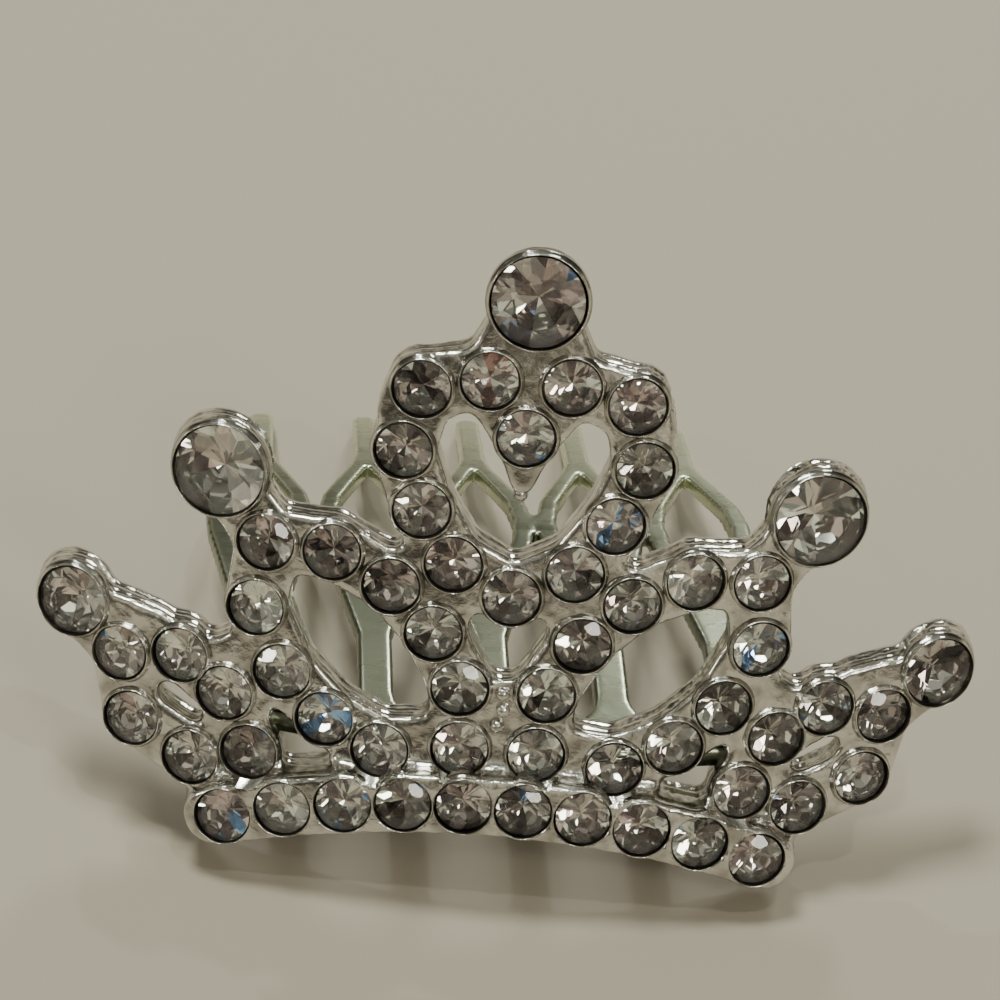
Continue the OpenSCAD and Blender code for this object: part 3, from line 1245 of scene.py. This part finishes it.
@dataclass
class Bezels:
    """The thin raised rims that hold the stones, and the beads between them.

    Lengths are in millimetres. The section's rows are a line, an offset from it and a drop
    below the rim's top. Bead rows are places across and up from the web's middle, in bead
    diameters. A rim's grime and painted shade grow from grime_and_shade_drop below its top over a height
    of grime_and_shade_run.
    """

    plane: TiaraPlane
    layout: StoneLayout
    cast: CastFrame
    steps: int = 56
    section: tuple[tuple[RimLine, float, float], ...] = (
        (RimLine.SEAT, 0, 0.7), (RimLine.CUP, 0, 0.7), (RimLine.CUP, 0.01, 0.33),
        (RimLine.CUP, -0.06, 0.25), (RimLine.WALL, 0, 0.12), (RimLine.WALL, -0.02, 0.03),
        (RimLine.WALL, -0.05, 0), (RimLine.SEAT, 0.02, 0.02), (RimLine.SEAT, 0, 0.06),
    )
    overlap: float = 0.01
    inner_wall: float = 0.02
    grime_and_shade_drop: float = 0.18
    grime_and_shade_run: float = 0.15
    grime_and_shade_most: float = 0.6
    rim_waves: Rows = ((1.7, 0.05), (5.1, 0.03))
    bead_d: float = 0.75
    bead_out: float = 0.075
    bead_rows: tuple[Row, ...] = ((0, 2), (0.1, 0.85), (-0.2, -0.35))
    drop_tip_len: float = 3.3
    drop_bead_d: float = 0.8

    def _rim(self, diameter: float, high: float) -> bmesh.types.BMesh:
        """Turns one rim, with a rounded lip that leans over its stone.

        Args:
            diameter: the stone's diameter.
            high: height of the rim's top.

        Returns:
            A closed ring, with its grime and painted shade stored and material 1, the painted shade of
            the gap, on its inner wall.
        """
        lines = {
            RimLine.SEAT: self.cast.seat_r(diameter) - self.overlap,
            RimLine.WALL: diameter / 2 + self.cast.stone_play + self.cast.rim_wall,
            RimLine.CUP: self.cast.cup_r(diameter),
        }
        profile = [(lines[line] + offset, high - drop) for line, offset, drop in self.section]
        ring = lathe(profile, self.steps)
        # The rim darkens below its top with grime and painted shade together.
        hollow = ring.verts.layers.float.new("hollow")
        for vertex in ring.verts:
            depth = high - self.grime_and_shade_drop - vertex.co.z
            vertex[hollow] = min(self.grime_and_shade_most, max(0.0, depth / self.grime_and_shade_run))
        for face in ring.faces:
            # The inner wall takes material 1, painted shade of the gap round the stone.
            middle = face.calc_center_median()
            if math.hypot(middle.x, middle.y) < lines[RimLine.SEAT] + self.inner_wall:
                face.material_index = 1
        return ring

    def build(self, silver: bpy.types.Material, gap_shade: bpy.types.Material) -> None:
        """Sets every rim.

        Args:
            silver: their finish.
            gap_shade: the near-black metal of their inner walls, painted shade of the gap round each
                stone.
        """
        whole = bmesh.new()
        for spots in self.layout.by_node().values():
            for spot in spots:
                ring = self._rim(spot.diameter, self.layout.rim_top(spot.surface))
                move_into(whole, ring, spot.matrix(self.plane))
        for vertex in whole.verts:
            vertex.co += Vector((0, 0, waves(vertex.co, self.rim_waves)))
        bmesh.ops.transform(whole, matrix=self.plane.stand, verts=whole.verts)
        piece = to_object(whole, "stone_rims")
        piece.data.materials.append(silver)
        piece.data.materials.append(gap_shade)
        finish_piece(piece, "silver")

    def build_beads(self, silver: bpy.types.Material) -> None:
        """Makes the beads on the web and at the drop's point.

        Args:
            silver: their finish.
        """
        whole = bmesh.new()
        web, size, raised = self.layout.web_height, self.bead_d, self.bead_out
        spots = [(across * size, web + up * size, raised, size / 2) for across, up in self.bead_rows]
        point = self.layout.drop.height - self.drop_tip_len
        spots.append((0, point, -self.plane.frame_t / 2, self.drop_bead_d / 2))
        for x, height, out, radius in spots:
            place = self.plane.on_front(x, height, out)
            bmesh.ops.create_uvsphere(whole, u_segments=24, v_segments=16, radius=radius, matrix=place)
        bmesh.ops.transform(whole, matrix=self.plane.stand, verts=whole.verts)
        piece = to_object(whole, "web_beads")
        use_finish(piece, silver)
        finish_piece(piece, "silver")


@dataclass
class HairComb:
    """The stamped and curved comb behind the tiara, in millimetres and degrees.

    Each tooth leaves the spine as a strip, flares, splits into two legs round an eye and ends
    in a prong. At their widest, which is node_share of the eye's length from its outer end, the
    legs stop node_gap short of the line between two teeth, and neighbours melt together there.
    """

    plane: TiaraPlane
    tooth_pitch: float = 6.1
    teeth: int = 5
    length: float = 38.0
    spine_d: float = 4.0
    sheet_t: float = 0.9
    strip_w: float = 1.8
    leg_w: float = 1.15
    prong_w: float = 1.4
    prong_len: float = 8.6
    eye_len: float = 14.0
    node_share: float = 0.45
    node_gap: float = 0.05
    curve_r: float = 100.0
    seat_h: float = 1.0
    back: float = -0.6
    shift: float = 0.2
    skew: float = 4.5
    trim_reach: float = 60.0
    voxel: float = 0.13
    relax_rounds: int = 4

    def _strip(self, mesh: bmesh.types.BMesh, path: Rows) -> None:
        """Adds one strip of the sheet to a mesh, with round joints and a round far end.

        Args:
            mesh: the mesh that it joins.
            path: place across, place along and width at each bend.
        """
        for (xa, ya, wide_a), (xb, yb, wide_b) in zip(path, path[1:]):
            a, b = Vector((xa, ya, 0)), Vector((xb, yb, 0))
            across = Vector((b.y - a.y, a.x - b.x, 0)).normalized() / 2
            corners = [a - across * wide_a, a + across * wide_a, b + across * wide_b, b - across * wide_b]
            prism(mesh, corners, 0, self.sheet_t)
            disc(mesh, Matrix.Translation(b), wide_b / 2, 0, self.sheet_t, steps=20)

    def _spine(self) -> bpy.types.Object:
        """Makes the solid spine, with a round root between each two strips.

        Returns:
            The flat spine.
        """
        slot_r = (self.tooth_pitch - self.strip_w) / 2
        half = (self.teeth - 1) / 2 * self.tooth_pitch + self.strip_w / 2
        root = self.spine_d + slot_r
        mesh = bmesh.new()
        slab(mesh, Vector((-half, root / 2, 0)), Vector((half, root / 2, 0)), root, 0, self.sheet_t)
        spine = to_object(mesh, "spine")
        tool = bmesh.new()
        for k in range(1, self.teeth):
            middle = Matrix.Translation(((k - self.teeth / 2) * self.tooth_pitch, root, 0))
            disc(tool, middle, slot_r, -1, self.sheet_t + 1, steps=48)
        cut_with(spine, to_object(tool, "roots"), Cut.OUTSIDE)
        return spine

    def _tooth(self, x: float) -> list[Rows]:
        """Lays out one tooth as strips that overlap.

        Args:
            x: place of its middle across the comb.

        Returns:
            The paths of its strip, its flare, its two legs and its prong, each a table of
            place across, place along and width.
        """
        strip, leg, prong = self.strip_w, self.leg_w, self.prong_w
        eye_end = self.length - self.prong_len
        eye_start = eye_end - self.eye_len
        node = eye_end - self.node_share * self.eye_len
        flare = eye_start - 2.4 * strip
        wide = (self.tooth_pitch - leg) / 2 - self.node_gap
        half_eye = (
            (strip * 0.22, flare, strip * 0.56),
            (wide * 0.5, eye_start + 0.8, leg * 1.3),
            (wide * 0.93, node - 2.2, leg),
            (wide, node, leg),
            (wide * 0.86, node + 2.4, leg * 0.94),
            (prong * 0.42, eye_end + 0.2, leg * 0.86),
            (0, eye_end + 2.2, prong * 0.9),
        )
        legs = [tuple((x + side.value * out, along, w) for out, along, w in half_eye) for side in Side]
        return [
            ((x, self.spine_d, strip), (x, flare + 1, strip)),
            ((x, flare, strip), (x, eye_start - 0.6, strip * 1.5)),
            *legs,
            ((x, eye_end + 1.2, prong), (x, self.length - prong / 2, prong)),
        ]

    def _flat_sheet(self) -> bpy.types.Object:
        """Lays out the comb's spine and teeth as overlapping flat solids.

        Returns:
            The flat sheet, with its foot at height 0.
        """
        spine = self._spine()
        mesh = bmesh.new()
        mesh.from_mesh(spine.data)
        bpy.data.objects.remove(spine)
        for k in range(self.teeth):
            for path in self._tooth((k - (self.teeth - 1) / 2) * self.tooth_pitch):
                self._strip(mesh, path)
        bmesh.ops.recalc_face_normals(mesh, faces=mesh.faces)
        return to_object(mesh, "hair_comb")

    def _curve(self, point: Vector) -> Vector:
        """Bends a flat point round the comb's own curve.

        Args:
            point: the point, with y along the comb from its root.

        Returns:
            The point on the curved sheet, whose root and tips stay at height 0.
        """
        half = self.length / 2
        depth = math.sqrt(self.curve_r**2 - half * half)
        along = point.y - half
        height = math.sqrt((self.curve_r + point.z) ** 2 - along * along) - depth
        return Vector((point.x, point.y, height))

    def _placement(self) -> Matrix:
        """Finds where the comb sits, with its root behind the bar and its tips on the floor.

        Returns:
            From the curved sheet's millimetres to the world's, still in millimetres.
        """
        root_h = self.plane.stand_h + self.seat_h
        slope = math.asin(root_h / self.length)
        return (
            Matrix.Translation((self.shift, self.back, root_h))
            @ Matrix.Rotation(math.radians(self.skew), 4, "Z")
            @ Matrix.Rotation(-slope, 4, "X")
        )

    def _behind_front(self) -> bpy.types.Object:
        """Makes the tool that trims the comb's root inside the frame.

        Returns:
            A cylinder whose wall runs through the middle of the frame's sheet.
        """
        tool = bmesh.new()
        stand = Matrix.Scale(1 / MM, 4) @ self.plane.stand
        lay = Matrix.Translation((0, 0, -self.plane.sweep_r)) @ Matrix.Rotation(-math.pi / 2, 4, "X")
        radius = self.plane.sweep_r - self.plane.frame_t / 2
        disc(tool, stand @ lay, radius, -self.trim_reach, self.trim_reach, steps=360)
        return to_object(tool, "trim")

    def build(self, silver: bpy.types.Material) -> None:
        """Stamps, curves and seats the comb.

        Args:
            silver: its finish.
        """
        piece = self._flat_sheet()
        melt_together(piece, self.voxel, self.relax_rounds)
        reshape(piece, self._curve)
        piece.data.transform(self._placement())
        cut_with(piece, self._behind_front(), Cut.INSIDE)
        piece.data.transform(Matrix.Scale(MM, 4))
        piece.data.shade_smooth()
        use_finish(piece, silver)
        finish_piece(piece, "silver", "silver_frame")


@dataclass(frozen=True)
class Lamp:
    """One soft round lamp: its place in metres, its width, its power in watts and its colour."""

    name: str
    place: tuple[float, float, float]
    size: float
    power: float
    colour: Colour

    def hang(self, target: Vector) -> None:
        """Hangs the lamp so that it faces a point.

        Args:
            target: the point, in metres.
        """
        data = bpy.data.lights.new(self.name, "AREA")
        data.shape = "DISK"
        data.size = self.size
        data.energy = self.power
        data.color = self.colour
        lamp = link_object(self.name, data)
        lamp.location = self.place
        lamp.rotation_euler = (target - Vector(self.place)).to_track_quat("-Z", "Y").to_euler()


@dataclass(frozen=True)
class Studio:
    """The floor, the lights and the camera, in metres and degrees.

    The room's light is a ramp over how far upwards a direction points. Its patches are a ramp
    over a broad noise, and they multiply the light.
    """

    azimuth: float = -1.3
    elevation: float = 39.3
    roll: float = 5.6
    distance: float = 0.1685
    view_angle: float = 16.8
    sensor: float = 36.0
    target: tuple[float, float, float] = (-0.00095, 0.00787, 0.01864)
    lit_height: float = 0.015
    floor_size: float = 1.2
    floor_colour: Colour = (0.335, 0.298, 0.238)
    floor_roughness: float = 0.75
    room_stops: tuple[tuple[float, Colour], ...] = (
        (0.0, (0.22, 0.19, 0.15)), (0.12, (0.20, 0.178, 0.14)), (0.35, (0.15, 0.137, 0.11)),
        (0.6, (0.21, 0.205, 0.17)), (0.85, (0.38, 0.38, 0.32)),
    )
    patch_stops: tuple[tuple[float, Colour], ...] = (
        (0.36, (0.25, 0.25, 0.25)), (0.52, (0.9, 0.9, 0.9)), (0.66, (3.4, 3.45, 3.2)),
    )
    lamps: tuple[Lamp, ...] = (
        Lamp("window", (-0.12, 0.10, 0.60), 0.17, 3.0, (0.97, 1.0, 0.90)),
        Lamp("back_soft", (0.16, 0.60, 0.34), 0.12, 1.6, (0.98, 1.0, 0.92)),
        Lamp("front_soft", (0.30, -0.45, 0.50), 0.16, 1.2, (1.0, 0.96, 0.86)),
        Lamp("low_left", (-0.50, -0.20, 0.26), 0.05, 0.4, (1.0, 0.97, 0.88)),
        Lamp("spark_front", (0.12, -0.10, 0.60), 0.02, 0.5, (1.0, 1.0, 0.97)),
        Lamp("spark_back", (-0.16, 0.42, 0.42), 0.02, 0.5, (0.97, 1.0, 1.0)),
    )

    def _floor(self) -> None:
        """Lays the plain pale floor."""
        mesh = bmesh.new()
        bmesh.ops.create_grid(mesh, x_segments=1, y_segments=1, size=self.floor_size)
        floor = to_object(mesh, "floor", smooth=False)
        matt = {"Base Color": (*self.floor_colour, 1), "Roughness": self.floor_roughness}
        floor.data.materials.append(start_material("pale_floor", matt)[0])

    def _world(self) -> None:
        """Fills the room with soft grey light, brighter overhead, in broad pale and dark patches."""
        world = bpy.data.worlds.new("room")
        bpy.context.scene.world = world
        world.use_nodes = True
        sketch = NodeSketch(world.node_tree)
        place = sketch.node("ShaderNodeTexCoord")
        split = sketch.node("ShaderNodeSeparateXYZ")
        sketch.link(place.outputs["Generated"], split.inputs["Vector"])
        broad = {"Scale": 2.6, "Detail": 1.0, "Roughness": 0.4}
        patches = sketch.node("ShaderNodeTexNoise", inputs=broad)
        sketch.link(place.outputs["Generated"], patches.inputs["Vector"])
        mixed = sketch.node(
            "ShaderNodeMix", data_type="RGBA", blend_type="MULTIPLY", inputs={"Factor": 1.0}
        )
        sketch.link(sketch.ramp(split.outputs["Z"], self.room_stops), mixed.inputs["A"])
        sketch.link(sketch.ramp(patches.outputs["Fac"], self.patch_stops), mixed.inputs["B"])
        sketch.link(mixed.outputs["Result"], world.node_tree.nodes["Background"].inputs["Color"])

    def _camera(self) -> None:
        """Sets the camera at the photograph's angle."""
        data = bpy.data.cameras.new("camera")
        data.sensor_width = self.sensor
        data.lens = self.sensor / 2 / math.tan(math.radians(self.view_angle / 2))
        data.clip_start = 0.01
        data.clip_end = 10.0
        camera = link_object("camera", data)
        a, e = math.radians(self.azimuth), math.radians(self.elevation)
        look = Vector((-math.sin(a) * math.cos(e), math.cos(a) * math.cos(e), -math.sin(e)))
        roll = Matrix.Rotation(math.radians(self.roll), 4, "Z")
        turn = look.to_track_quat("-Z", "Y").to_matrix().to_4x4() @ roll
        camera.matrix_world = Matrix.Translation(Vector(self.target) - look * self.distance) @ turn
        bpy.context.scene.camera = camera

    def build(self) -> None:
        """Makes the whole studio."""
        self._floor()
        self._world()
        for lamp in self.lamps:
            lamp.hang(Vector((0, 0, self.lit_height)))
        self._camera()


# Each metal's darkest colour is the grime and painted shade in its creases.
SILVER_PLATE = PlatedMetal(
    "silver_plate", bright=(0.76, 0.75, 0.71), dull=(0.44, 0.43, 0.395),
    grime_and_shade_colour=(0.10, 0.09, 0.075), roughness=(0.06, 0.24), bump=0.55
)
COMB_SILVER = PlatedMetal(
    "comb_silver", bright=(0.235, 0.25, 0.185), dull=(0.20, 0.218, 0.165),
    grime_and_shade_colour=(0.10, 0.11, 0.08), roughness=(0.20, 0.36),
    stretch=(0.35, 1.0, 1.0), bump=0.3, far_glow=3.0
)
# Near-black metal on the seats' inner walls: painted shade of the gap round each stone.
SEAT_GAP_SHADE = PlatedMetal(
    "seat_gap_shade", bright=(0.20, 0.18, 0.15), dull=(0.10, 0.09, 0.075),
    grime_and_shade_colour=(0.01, 0.01, 0.01), roughness=(0.3, 0.5)
)


def main() -> None:
    """Builds the studio and the tiara, piece by piece."""
    logging.basicConfig(level=logging.INFO, format="%(message)s")
    Studio().build()
    plane = TiaraPlane()
    layout = StoneLayout(plane)
    skin = cast_skin_group()
    silver = SILVER_PLATE.material(skin)
    comb_silver = COMB_SILVER.material(skin)
    cast = CastFrame(plane, layout)
    cast.build(silver)
    rims = Bezels(plane, layout, cast)
    rims.build(silver, SEAT_GAP_SHADE.material(skin))
    rims.build_beads(silver)
    HairComb(plane).build(comb_silver)
    Stones(plane, layout).build(CrystalGlass().material(), MirrorFoil().material())
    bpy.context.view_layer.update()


if __name__ == "__main__":
    main()
